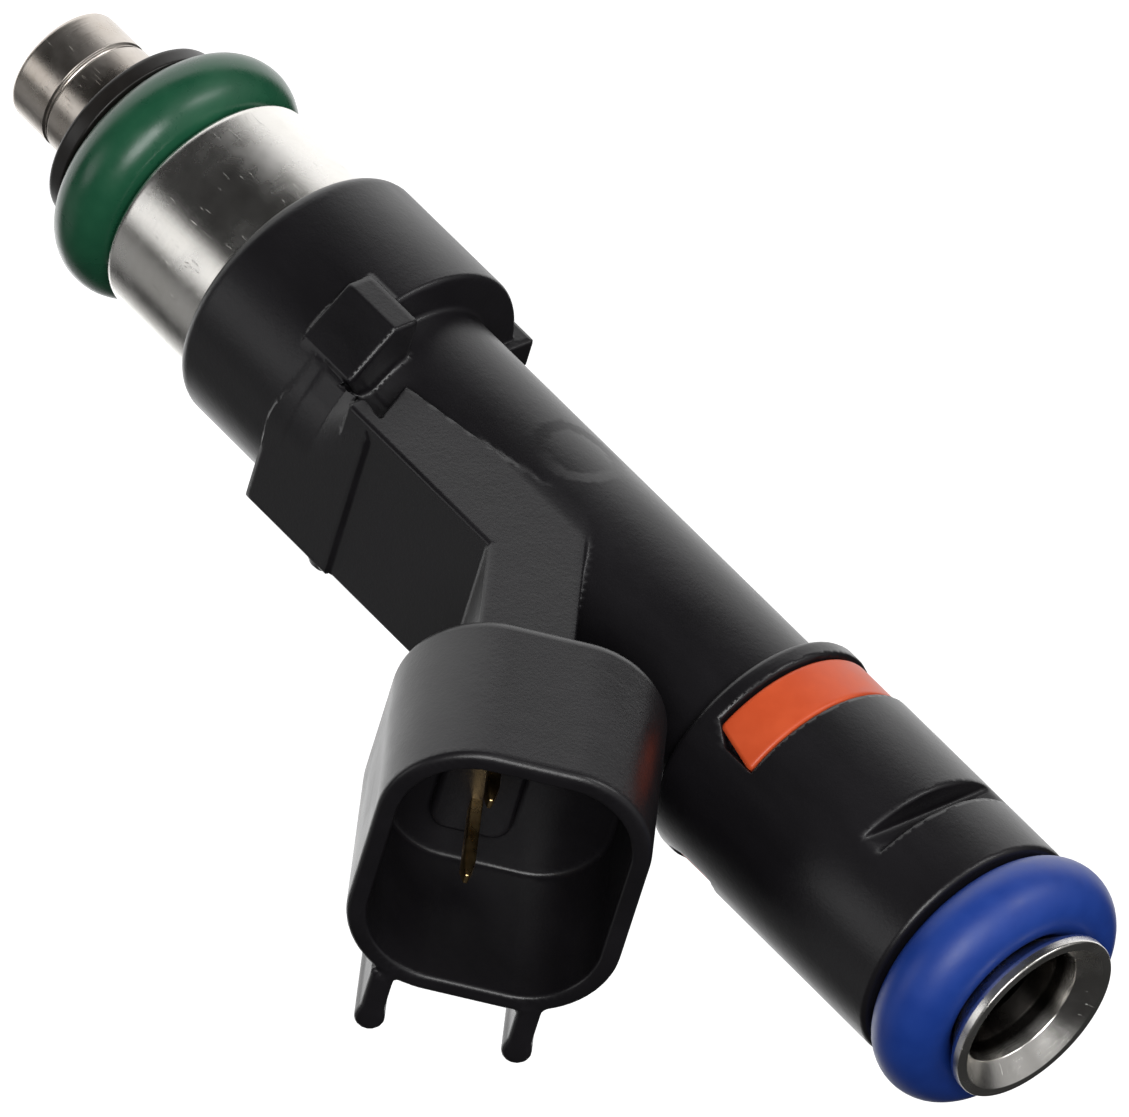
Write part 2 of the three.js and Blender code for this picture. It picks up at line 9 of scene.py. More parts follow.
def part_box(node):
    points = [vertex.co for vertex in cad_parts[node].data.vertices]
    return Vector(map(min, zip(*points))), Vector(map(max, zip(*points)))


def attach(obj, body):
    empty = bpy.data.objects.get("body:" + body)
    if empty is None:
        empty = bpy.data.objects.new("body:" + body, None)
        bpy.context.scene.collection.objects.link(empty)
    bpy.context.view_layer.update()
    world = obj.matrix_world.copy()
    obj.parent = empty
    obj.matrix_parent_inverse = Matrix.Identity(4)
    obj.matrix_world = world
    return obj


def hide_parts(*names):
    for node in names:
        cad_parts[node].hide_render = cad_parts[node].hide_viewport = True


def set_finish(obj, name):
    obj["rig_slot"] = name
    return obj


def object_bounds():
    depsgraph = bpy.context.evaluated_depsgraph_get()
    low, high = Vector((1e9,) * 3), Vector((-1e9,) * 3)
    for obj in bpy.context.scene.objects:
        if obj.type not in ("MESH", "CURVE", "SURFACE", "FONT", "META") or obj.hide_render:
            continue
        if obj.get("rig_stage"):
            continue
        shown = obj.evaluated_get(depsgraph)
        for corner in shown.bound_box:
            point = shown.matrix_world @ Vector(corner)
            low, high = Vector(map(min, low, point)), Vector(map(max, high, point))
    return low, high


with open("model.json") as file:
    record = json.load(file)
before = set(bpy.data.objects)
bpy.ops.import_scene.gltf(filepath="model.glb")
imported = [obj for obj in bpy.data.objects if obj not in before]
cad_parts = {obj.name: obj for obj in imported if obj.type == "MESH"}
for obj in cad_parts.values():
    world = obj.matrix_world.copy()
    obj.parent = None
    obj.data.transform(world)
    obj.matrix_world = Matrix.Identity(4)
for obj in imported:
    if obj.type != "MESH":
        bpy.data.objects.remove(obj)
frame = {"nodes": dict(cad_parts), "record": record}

MM = 0.001
X, Y, Z = 0, 1, 2
BODY = "injector_body"
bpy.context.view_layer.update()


# ---- sizes, in millimetres, from the frame's boxes or named here where no box gives them ---------------
def span(node, axis):
    low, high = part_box(node)
    return low[axis] / MM, high[axis] / MM


def middle(node, axis):
    return sum(span(node, axis)) / 2


TIP_Z = span("valve_sleeve", Z)[0]
SLEEVE_R = span("valve_sleeve", X)[1]
SLEEVE_TOP_Z = span("valve_sleeve", Z)[1]
BORE_R = 2.95
WELD_Z = -6.7
FIT = 0.06
HOUSING_R = span("magnet_housing", X)[1]
HOUSING_Z = span("magnet_housing", Z)
HOUSING_BORE_R = 5.9
HOUSING_FLOOR = 1.7
COLLAR_R = span("nozzle_collar", X)[1]
COLLAR_Z = span("nozzle_collar", Z)
INLET_TOP_Z = span("inlet_tube", Z)[1]
INLET_LOW_Z = span("inlet_tube", Z)[0]
INLET_LIP_R = span("inlet_tube", X)[1]
INLET_TUBE_R = 3.36
SOCKET_R = 3.9
SOCKET_Z = 30.4
MOUTH_R = 3.55

BODY_LOW_Z, BODY_TOP_Z = span("moulded_body", Z)
RING_R = 7.68
RING_TOP_Z = 18.35
STEM_R = 5.55
HEAD_R = 6.7
HEAD_LOW_Z = 46.85
GROOVE_R = 5.9
GROOVE_Z = (48.1, 51.3)
CLIP_SLOT_Z = (58.5, 59.65)
CLIP_SLOT_FLAT = 5.15
CODING_GAP = (math.radians(-37), math.radians(30))
CODING_PLAY = 0.005
CODING_CUT_HEIGHT = 1.2
CODING_CUT_SLOPE = 0.1
GATE_ANGLE = math.radians(-100)
GATE_Z = 29.9
GATE_R = 2.1
GATE_DEPTH = 0.07
GATE_SLOPE_WIDTH = 0.7

ARM_X = 7.68
ARM_HALF_WIDTH = 5.05
ARM_LOW_Z = 21.4
ARM_BEND_Z = 32.85
BLOCK_X = 7.85
BLOCK_HALF_WIDTH = 5.2
BLOCK_Z = (16.9, 23.45)
BEVEL_ANGLE = math.radians(28.8)
BEVEL_OFFSET = 7.66
BEVEL_SLOPE = 0.5
BOSS_X = 6.85
BOSS_Z = 22.4
BOSS_R = 0.9
BOSS_HEIGHT = 0.35
LUG_Z = (16.1, 20.05)
LUG_OUTLINE = [(6.3, 4.7), (3.9, 7.45), (2.3, 7.45), (2.3, 4.5), (5, 3)]
BACK_LUG_X = (-8.6, -5)
BACK_LUG_Z = (16.9, 18.9)
BACK_LUG_HALF = 0.9
POCKET_FLOOR = 3.4

TILT = math.radians(45)
SHROUD_HALF = (8.07, 7.0)
SHROUD_LENGTH = 10.8
SHROUD_CORNER_R = 5.0
SHROUD_WALL = 1.05
SHROUD_BACK = 0.6 - SHROUD_LENGTH
SOCKET_DEPTH = 9.3
PAD_HALF = (4.6, 2.1)
PAD_HEIGHT = 0.9
RIM_X = span("moulded_body", X)[1] - SHROUD_HALF[1] * math.sin(TILT)
RIM_Z = 49.05
RAIL_HEIGHTS = (-4.15, 3.45)
RAIL_HALF = 0.78
RAIL_NECK_HALF = 0.62
RAIL_REACH = span("moulded_body", Y)[1]
RAIL_LENGTH = 6.0
WEB_HALF_WIDTH = 1.5

PIN_HEIGHT = -1.3
PIN_HALF_THICKNESS = 0.32
PIN_RECESS = 2.8
PIN_TAPER = 0.9


# ---- implicit solids: negative inside, in millimetres, on arrays of points ----------------------------
def union(a, b, fillet):
    """Both solids, with a round fillet where their surfaces meet."""
    corner = np.hypot(np.maximum(fillet - a, 0), np.maximum(fillet - b, 0))
    return np.maximum(fillet, np.minimum(a, b)) - corner


def common(a, b, edge):
    """What two solids share, with a round edge where their surfaces meet."""
    corner = np.hypot(np.maximum(edge + a, 0), np.maximum(edge + b, 0))
    return np.minimum(-edge, np.maximum(a, b)) + corner


def cut(a, b, edge):
    return common(a, -b, edge)


def between(value, low, high):
    return np.abs(value - (low + high) / 2) - (high - low) / 2


def polygon(x, y, corners, corner_radius=0.0):
    """Distance to a closed outline, anticlockwise; its corners are rounded."""
    points = inset(corners, corner_radius)
    nearest = np.full(x.shape, np.inf)
    inside = np.zeros(x.shape, bool)
    for (ax, ay), (bx, by) in zip(points, points[1:] + points[:1]):
        ex, ey = bx - ax, by - ay
        wx, wy = x - ax, y - ay
        along = np.clip((wx * ex + wy * ey) / (ex * ex + ey * ey), 0, 1)
        nearest = np.minimum(nearest, (wx - ex * along) ** 2 + (wy - ey * along) ** 2)
        crosses = (ay <= y) != (by <= y)
        inside ^= crosses & ((ex * wy - ey * wx > 0) == (by > ay))
    return np.where(inside, -1, 1) * np.sqrt(nearest) - corner_radius


def inset(corners, amount):
    """The outline moved inwards by an amount."""
    moved = []
    for before, corner, after in zip(corners[-1:] + corners[:-1], corners, corners[1:] + corners[:1]):
        arriving = (Vector(corner) - Vector(before)).normalized()
        leaving = (Vector(after) - Vector(corner)).normalized()
        half = (arriving + leaving).normalized()
        inward = Vector((-half.y, half.x))
        reach = amount / inward.dot(Vector((-arriving.y, arriving.x)))
        moved.append(tuple(Vector(corner) + inward * reach))
    return moved


def rounded_rectangle(x, y, half_width, half_height, corner):
    qx = np.abs(x) - half_width + corner
    qy = np.abs(y) - half_height + corner
    outside = np.hypot(np.maximum(qx, 0), np.maximum(qy, 0))
    return outside + np.minimum(np.maximum(qx, qy), 0) - corner


# ---- the moulding: coil ring, stem, arm, head and connector in one piece --------------------------------
def connector_point(height, out):
    """x and z of a point in the connector's middle plane: height across the socket, distance out of it."""
    return (
        RIM_X - math.sin(TILT) * height + math.cos(TILT) * out,
        RIM_Z + math.cos(TILT) * height + math.sin(TILT) * out,
    )


def in_connector(x, z):
    """Height across the socket and distance out of its mouth."""
    dx, dz = x - RIM_X, z - RIM_Z
    height = -math.sin(TILT) * dx + math.cos(TILT) * dz
    out = math.cos(TILT) * dx + math.sin(TILT) * dz
    return height, out


def cut_back(z):
    """How far, in radians, the coding ring's ends stand back from the gap near their lower corner."""
    return CODING_CUT_SLOPE * np.maximum(0, GROOVE_Z[0] + CODING_CUT_HEIGHT - z)


def round_body(radius, angle, z):
    ring = common(radius - RING_R, BODY_LOW_Z - z, 0.9)
    ring = common(ring, z - RING_TOP_Z, 0.3)
    head = common(radius - HEAD_R, HEAD_LOW_Z - z, 0.45)
    head = common(head, z - BODY_TOP_Z, 0.3)
    middle_angle = sum(CODING_GAP) / 2
    half_gap = (CODING_GAP[1] - CODING_GAP[0]) / 2 + cut_back(z) - CODING_PLAY
    beside_gap = (half_gap - np.abs(angle - middle_angle)) * GROOVE_R
    groove = np.maximum(np.maximum(GROOVE_R - radius, between(z, *GROOVE_Z)), beside_gap)
    head = cut(head, groove, 0.18)
    stem = np.maximum(radius - STEM_R, between(z, RING_TOP_Z - 1, HEAD_LOW_Z + 1))
    return union(union(ring, stem, 0.3), head, 0.25)


def arm(x, y, z):
    outline = [
        (0, ARM_LOW_Z),
        (ARM_X, ARM_LOW_Z),
        (ARM_X, ARM_BEND_Z),
        connector_point(-3.3, SHROUD_BACK),
        connector_point(1.7, SHROUD_BACK),
        (3.2, 35.45),
        (0, 32.25),
    ]
    return common(polygon(x, z, outline, 0.3), np.abs(y) - ARM_HALF_WIDTH, 0.25)


def web(x, y, z):
    """The thin rib that fills the corner between the stem and the connector."""
    outline = [
        (2, 34),
        connector_point(1, SHROUD_BACK),
        connector_point(5, SHROUD_BACK),
        (STEM_R - 0.5, 44.5),
        (2, 44.5),
    ]
    return common(polygon(x, z, outline, 0.2), np.abs(y) - WEB_HALF_WIDTH, 0.3)


def block(x, y, z):
    """The thick foot of the arm: bevelled beside the lug, with a small boss on its far side."""
    foot = common(between(x, 0, BLOCK_X), between(y, 0.1 - ARM_HALF_WIDTH, BLOCK_HALF_WIDTH), 0.3)
    foot = common(foot, between(z, *BLOCK_Z), 0.08)
    bevel = math.cos(BEVEL_ANGLE) * x - math.sin(BEVEL_ANGLE) * y
    bevel = bevel - BEVEL_OFFSET - BEVEL_SLOPE * np.maximum(z - LUG_Z[1], 0)
    foot = common(foot, bevel, 0.8)
    boss = np.hypot(x - BOSS_X, z - BOSS_Z) - BOSS_R
    boss = common(boss, between(y, 4, BLOCK_HALF_WIDTH + BOSS_HEIGHT), 0.3)
    return union(foot, boss, 0.1)


def pocket(x, y, z):
    """The deep recess in the arm's side, between the lug and the arm's slanted end."""
    low = LUG_Z[1] - 0.5
    outline = [(0, low), (6.2, low), (6.8, 23.1), (3.9, 21.65), (2.1, 31), (0, 31)]
    return common(polygon(x, z, outline, 0.1), y + POCKET_FLOOR, 0.15)


def lugs(x, y, z):
    """A lug on each side of the coil ring, and a smaller one behind it."""
    side = common(polygon(x, np.abs(y), LUG_OUTLINE, 0.2), between(z, *LUG_Z), 0.22)
    back = common(between(x, *BACK_LUG_X), np.abs(y) - BACK_LUG_HALF, 0.2)
    back = common(back, between(z, *BACK_LUG_Z), 0.2)
    return np.minimum(side, back)


def shroud(y, height, out):
    """The connector's outer shape, with its two guide rails."""
    wall = rounded_rectangle(y, height, *SHROUD_HALF, SHROUD_CORNER_R)
    shell = common(common(wall, out, 0.4), -SHROUD_LENGTH - out, 1.0)
    for middle_height in RAIL_HEIGHTS:
        bead = np.hypot(y - RAIL_REACH + RAIL_HALF, height - middle_height) - RAIL_HALF
        neck = np.maximum(np.abs(height - middle_height) - RAIL_NECK_HALF, y - RAIL_REACH + RAIL_HALF)
        neck = np.maximum(neck, SHROUD_HALF[0] - SHROUD_WALL / 2 - y)
        rail = union(bead, neck, 0.2)
        rail = common(rail, between(out, -RAIL_LENGTH, 0), 0.35)
        shell = union(shell, rail, 0.3)
    return shell


def socket(y, height, out):
    """The hollow of the connector, round the pad that the pins stand on."""
    half_width, half_height = (half - SHROUD_WALL for half in SHROUD_HALF)
    inner = rounded_rectangle(y, height, half_width, half_height, SHROUD_CORNER_R - SHROUD_WALL)
    hollow = common(inner, -SOCKET_DEPTH - out, 0.3)
    pad = rounded_rectangle(y, height - PIN_HEIGHT, *PAD_HALF, 1.0)
    pad = common(pad, out + SOCKET_DEPTH - PAD_HEIGHT, 0.3)
    return cut(hollow, pad, 0.2)


def bores(radius, z):
    """The room for the coil housing, the sleeve and the two widths of the inlet tube."""
    housing = np.maximum(radius - HOUSING_R - FIT, z - HOUSING_Z[1] - FIT)
    sleeve = np.maximum(radius - SLEEVE_R - FIT, z - INLET_LOW_Z)
    wide = np.maximum(radius - SOCKET_R - FIT, between(z, INLET_LOW_Z - FIT, SOCKET_Z + FIT))
    narrow = np.maximum(radius - INLET_TUBE_R - FIT, SOCKET_Z - z)
    return np.minimum(np.minimum(housing, sleeve), np.minimum(wide, narrow))


def gate_mark(x, y, z):
    """A shallow round recess that the mould's inlet leaves on the stem."""
    aside = -x * math.sin(GATE_ANGLE) + y * math.cos(GATE_ANGLE)
    ahead = x * math.cos(GATE_ANGLE) + y * math.sin(GATE_ANGLE)
    return np.maximum(np.hypot(aside, z - GATE_Z) - GATE_R, -ahead)


def moulding(points):
    x, y, z = points.T
    radius = np.hypot(x, y)
    height, out = in_connector(x, z)
    whole = round_body(radius, np.arctan2(y, x), z)
    side = cut(union(arm(x, y, z), block(x, y, z), 0.05), pocket(x, y, z), 0.15)
    whole = union(whole, side, 0.25)
    whole = union(whole, web(x, y, z), 0.4)
    whole = union(whole, lugs(x, y, z), 0.1)
    whole = union(whole, shroud(y, height, out), 0.6)
    whole = cut(whole, socket(y, height, out), 0.25)
    slot = common(CLIP_SLOT_FLAT - np.abs(y), between(z, *CLIP_SLOT_Z), 0.15)
    whole = cut(whole, slot, 0.2)
    recess = GATE_DEPTH * np.clip(0.5 - gate_mark(x, y, z) / GATE_SLOPE_WIDTH, 0, 1)
    return cut(whole + recess, bores(radius, z), 0.1)


# ---- meshes -----------------------------------------------------------------------------------------
CORNERS = [(i, j, k) for i in (0, 1) for j in (0, 1) for k in (0, 1)]


def surface_of(solid, low, high, step):
    """A quad mesh of an implicit solid: one point in each grid cell that its surface crosses."""
    values = sampled(solid, low, high, step)
    inside = values < 0
    count = sum(at_corner(inside, corner).astype(int) for corner in CORNERS)
    cells = np.argwhere((count > 0) & (count < len(CORNERS)))
    index = np.full(count.shape, -1)
    index[tuple(cells.T)] = np.arange(len(cells))
    start = np.array(low) - step + step * cells
    points = settled(solid, cell_points(solid, values, cells, start, step), step)
    return points, cell_quads(inside, index), unit(value_and_slope(solid, points)[1])


def sampled(solid, low, high, step):
    """The solid's values on a grid that reaches a step past its box."""
    counts = [int(math.ceil((high[i] - low[i]) / step)) + 3 for i in range(3)]
    axes = [low[i] - step + step * np.arange(counts[i]) for i in range(3)]
    values = np.empty(counts)
    for i, x in enumerate(axes[0]):
        layer = np.stack(np.meshgrid([x], axes[1], axes[2], indexing="ij"), -1).reshape(-1, 3)
        values[i] = solid(layer).reshape(counts[1:])
    return values


def at_corner(grid, corner):
    """The grid's value at one corner of every cell."""
    return grid[tuple(slice(o, grid.shape[n] - 1 + o) for n, o in enumerate(corner))]


def cell_points(solid, values, cells, start, step):
    """Where the surface's planes meet in each cell, so that edges and corners stay sharp.

    Where the planes leave a direction free, a weak hold keeps the point near the mean of its crossings.
    """
    crossing = np.zeros((len(cells), 3))
    hits = np.zeros(len(cells))
    grip = np.zeros((len(cells), 3, 3))
    pull = np.zeros((len(cells), 3))
    for corner, axis in [(c, n) for c in CORNERS for n in range(3) if not c[n]]:
        other = tuple(o + (n == axis) for n, o in enumerate(corner))
        a = at_corner(values, corner)[tuple(cells.T)]
        b = at_corner(values, other)[tuple(cells.T)]
        rows = np.flatnonzero((a < 0) != (b < 0))
        share = a[rows] / (a[rows] - b[rows])
        place = start[rows] + step * (np.array(corner, float) + share[:, None] * np.eye(3)[axis])
        normal = unit(value_and_slope(solid, place)[1])
        crossing[rows] += place
        hits[rows] += 1
        grip[rows] += normal[:, :, None] * normal[:, None, :]
        pull[rows] += normal * (normal * place).sum(1)[:, None]
    crossing /= hits[:, None]
    hold = 0.05
    points = np.linalg.solve(grip + hold * np.eye(3), (pull + hold * crossing)[:, :, None])[:, :, 0]
    return np.clip(points, start, start + step)


def cell_quads(inside, index):
    """A quad across each grid edge that the surface crosses, facing out of the solid."""
    quads = []
    for axis in range(3):
        first, second = (axis + 1) % 3, (axis + 2) % 3
        a = inside[tuple(slice(1, -1) if n != axis else slice(0, -1) for n in range(3))]
        b = inside[tuple(slice(1, -1) if n != axis else slice(1, None) for n in range(3))]
        edges = np.argwhere(a != b)
        outward = a[tuple(edges.T)]
        at = edges + np.array([int(n != axis) for n in range(3)])
        ring = []
        for back_first, back_second in ((0, 0), (1, 0), (1, 1), (0, 1)):
            cell = at.copy()
            cell[:, first] -= back_first
            cell[:, second] -= back_second
            ring.append(index[tuple(cell.T)])
        ring = np.stack(ring, 1)
        quads.append(np.where(outward[:, None], ring, ring[:, ::-1]))
    return np.concatenate(quads)


def settled(solid, points, step):
    """The points moved on to the surface along its slope, each by a fraction of a cell."""
    farthest = 0.5 * step
    for _ in range(2):
        value, slope = value_and_slope(solid, points)
        move = value[:, None] * slope / np.maximum((slope**2).sum(1), 0.25)[:, None]
        points = points - np.clip(move, -farthest, farthest)
    return points


def unit(vectors):
    return vectors / np.maximum(np.linalg.norm(vectors, axis=1), 1e-9)[:, None]


def value_and_slope(solid, points):
    tiny = 0.01
    slope = np.empty_like(points)
    for axis in range(3):
        ahead = points + tiny * np.eye(3)[axis]
        behind = points - tiny * np.eye(3)[axis]
        slope[:, axis] = (solid(ahead) - solid(behind)) / (2 * tiny)
    return solid(points), slope


def new_piece(name, points, faces, node, slot, normals=None):
    """A smooth-shaded mesh that stands for a CAD node."""
    mesh = bpy.data.meshes.new(name)
    corners = [tuple(MM * float(c) for c in point) for point in points]
    mesh.from_pydata(corners, [], [tuple(int(i) for i in face) for face in faces])
    mesh.update()
    mesh.shade_smooth()
    if normals is not None:
        mesh.normals_split_custom_set_from_vertices([tuple(n) for n in normals])
    piece = bpy.data.objects.new(name, mesh)
    bpy.context.scene.collection.objects.link(piece)
    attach(piece, BODY)
    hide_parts(node)
    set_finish(piece, slot)
    return piece


def rounded_profile(corners, steps=5):
    """A closed profile of (radius, height, round) corners, each round made of a few points."""
    points = []
    count = len(corners)
    for i, (r, z, size) in enumerate(corners):
        corner = Vector((r, z))
        before = Vector(corners[i - 1][:2])
        after = Vector(corners[(i + 1) % count][:2])
        if size <= 0:
            points.append((r, z))
            continue
        back, ahead = (before - corner).normalized(), (after - corner).normalized()
        turn = math.pi - back.angle(ahead)
        setback = size * math.tan(turn / 2)
        start, end = corner + back * setback, corner + ahead * setback
        margin = min(0.06, 0.2 * size)
        points.append(tuple(start + back * margin))
        for s in range(steps + 1):
            t = s / steps
            bend = (1 - t) ** 2 * start + 2 * t * (1 - t) * corner + t**2 * end
            points.append(tuple(bend))
        points.append(tuple(end + ahead * margin))
    return points


def turned(name, profile, node, slot, sides=160):
    """A solid of revolution about Z from a closed profile that runs inner bottom, outer bottom, top."""
    ring = len(profile)
    points = []
    for i in range(sides):
        angle = 2 * math.pi * i / sides
        points += [(r * math.cos(angle), r * math.sin(angle), z) for r, z in profile]
    faces = []
    for i in range(sides):
        here, there = i * ring, (i + 1) % sides * ring
        for j in range(ring):
            k = (j + 1) % ring
            faces.append((here + j, there + j, there + k, here + k))
    return new_piece(name, points, faces, node, slot)


def bored(name, corners, node, slot, sides=160):
    return turned(name, rounded_profile(corners), node, slot, sides)


# ---- pieces -----------------------------------------------------------------------------------------
def moulded_body():
    margin = 0.3
    low = [span("moulded_body", axis)[0] - margin for axis in (X, Y, Z)]
    high = [span("moulded_body", axis)[1] + margin for axis in (X, Y, Z)]
    step = 0.24
    points, quads, normals = surface_of(moulding, low, high, step)
    return new_piece("body_moulding", points, quads, "moulded_body", "black_plastic", normals=normals)


def o_ring(name, node, slot):
    """A ring with an oval section, a little narrower than it is tall."""
    outer = span(node, X)[1]
    half_axial = (span(node, Z)[1] - span(node, Z)[0]) / 2
    half_radial = half_axial * 0.91
    sides = 48
    profile = []
    for i in range(sides):
        angle = 2 * math.pi * i / sides
        radius = outer - half_radial + half_radial * math.cos(angle)
        profile.append((radius, middle(node, Z) + half_axial * math.sin(angle)))
    return turned(name, profile, node, slot, sides=192)


def inlet():
    """The tube from the sleeve's socket up to the lip, which a steep cone opens at the top."""
    top = INLET_TOP_Z
    return bored(
        "inlet_pipe",
        [
            (SLEEVE_R + FIT, INLET_LOW_Z, 0),
            (SOCKET_R, INLET_LOW_Z, 0.15),
            (SOCKET_R, SOCKET_Z, 0.2),
            (INLET_TUBE_R, SOCKET_Z + 0.4, 0.1),
            (INLET_TUBE_R, 66.85, 0.4),
            (INLET_LIP_R - 0.05, 68.4, 0.15),
            (INLET_LIP_R, 68.6, 0.1),
            (INLET_LIP_R, top, 0.14),
            (4.45, top, 0.08),
            (MOUTH_R, top - 1.1, 0.2),
            (3.3, top - 2.3, 0.3),
            (BORE_R, top - 3.4, 0.3),
            (BORE_R, SLEEVE_TOP_Z + FIT, 0),
            (SLEEVE_R + FIT, SLEEVE_TOP_Z + FIT, 0),
        ],
        "inlet_tube",
        "steel",
        sides=192,
    )


def housing():
    low, high = HOUSING_Z
    floor = low + HOUSING_FLOOR
    return bored(
        "coil_housing",
        [
            (SLEEVE_R + FIT, low, 0.1),
            (HOUSING_R, low, 0.45),
            (HOUSING_R, high, 0.1),
            (HOUSING_BORE_R, high, 0.1),
            (HOUSING_BORE_R, floor, 0.3),
            (SLEEVE_R + FIT, floor, 0.1),
        ],
        "magnet_housing",
        "steel",
        sides=192,
    )


def nozzle():
    """The valve's sleeve; a narrow bead in a shallow groove is the weld that holds the seat."""
    groove_r = SLEEVE_R - 0.12
    return bored(
        "nozzle_sleeve",
        [
            (BORE_R, TIP_Z, 0.04),
            (SLEEVE_R, TIP_Z, 0.3),
            (SLEEVE_R, WELD_Z - 0.2, 0.05),
            (groove_r, WELD_Z - 0.1, 0.05),
            (SLEEVE_R - 0.05, WELD_Z, 0.05),
            (groove_r, WELD_Z + 0.1, 0.05),
            (SLEEVE_R, WELD_Z + 0.2, 0.05),
            (SLEEVE_R, SLEEVE_TOP_Z, 0.1),
            (BORE_R, SLEEVE_TOP_Z, 0.05),
        ],
        "valve_sleeve",
        "nozzle_steel",
        sides=192,
    )


def collar():
    low, high = COLLAR_Z
    inner = SLEEVE_R + 0.04
    return bored(
        "nozzle_collar_ring",
        [
            (inner, low, 0),
            (COLLAR_R, low, 0.3),
            (COLLAR_R, high - 0.35, 0.15),
            (COLLAR_R - 0.8, high, 0.1),
            (inner, high, 0),
        ],
        "nozzle_collar",
        "collar_plastic",
    )


def coding_ring():
    """An open ring; the lower corner at each end is cut off."""
    inner, outer = GROOVE_R + FIT, -span("coding_ring", X)[0]
    low, high = span("coding_ring", Z)
    section = [(inner, low, 0.05), (outer, low, 0.25), (outer, high, 0.25), (inner, high, 0.05)]
    profile = rounded_profile(section)
    ring = len(profile)
    sides = 140
    points = []
    for i in range(sides + 1):
        for r, z in profile:
            start = CODING_GAP[1] + cut_back(z)
            end = CODING_GAP[0] - cut_back(z) + 2 * math.pi
            angle = start + (end - start) * i / sides
            points.append((r * math.cos(angle), r * math.sin(angle), z))
    faces = [tuple(range(ring))]
    for i in range(sides):
        here, there = i * ring, (i + 1) * ring
        for j in range(ring):
            k = (j + 1) % ring
            faces.append((here + j, there + j, there + k, here + k))
    faces.append(tuple(sides * ring + j for j in reversed(range(ring))))
    return new_piece("code_ring", points, faces, "coding_ring", "orange_plastic")


def tip_start(path):
    """Where the taper at the path's end begins."""
    return path[-1] - (path[-1] - path[-2]).normalized() * PIN_TAPER


def terminal_blade(node):
    """A stamped strip from the coil to the socket, its tip pointed."""
    low_y, high_y = span(node, Y)
    leg_x, foot_x = 6.0, 4.6
    jog_z = 17.1
    tip_thickness, tip_inset = 0.35, 0.22
    foot_z = span(node, Z)[0] + PIN_HALF_THICKNESS
    tip = connector_point(PIN_HEIGHT, -PIN_RECESS)
    bend_z = tip[1] - (tip[0] - leg_x) * math.tan(TILT)
    bends = ((foot_x, foot_z), (foot_x, jog_z), (leg_x, jog_z), (leg_x, bend_z), tip)
    path = [Vector(place) for place in bends]
    path.insert(-1, tip_start(path))
    points = []
    for i, place in enumerate(path):
        arriving = (place - path[i - 1]).normalized() if i else (path[1] - place).normalized()
        leaving = (path[i + 1] - place).normalized() if i + 1 < len(path) else arriving
        half = (arriving + leaving).normalized()
        reach = PIN_HALF_THICKNESS / half.dot(arriving)
        at_tip = i + 1 == len(path)
        thick = reach * (tip_thickness if at_tip else 1)
        side = tip_inset if at_tip else 0
        normal = Vector((-half.y, half.x)) * thick
        for y, sign in ((low_y + side, 1), (high_y - side, 1), (high_y - side, -1), (low_y + side, -1)):
            points.append((place.x + sign * normal.x, y, place.y + sign * normal.y))
    faces = [(3, 2, 1, 0)]
    for i in range(len(path) - 1):
        for j in range(4):
            k = (j + 1) % 4
            faces.append((4 * i + j, 4 * i + k, 4 * i + 4 + k, 4 * i + 4 + j))
    last = 4 * (len(path) - 1)
    faces.append((last, last + 1, last + 2, last + 3))
    piece = new_piece(node + "_blade", points, faces, node, "gold_plate")
    bevel = piece.modifiers.new("edges", "BEVEL")
    bevel.width = 0.08 * MM
    bevel.segments = 3
    return piece


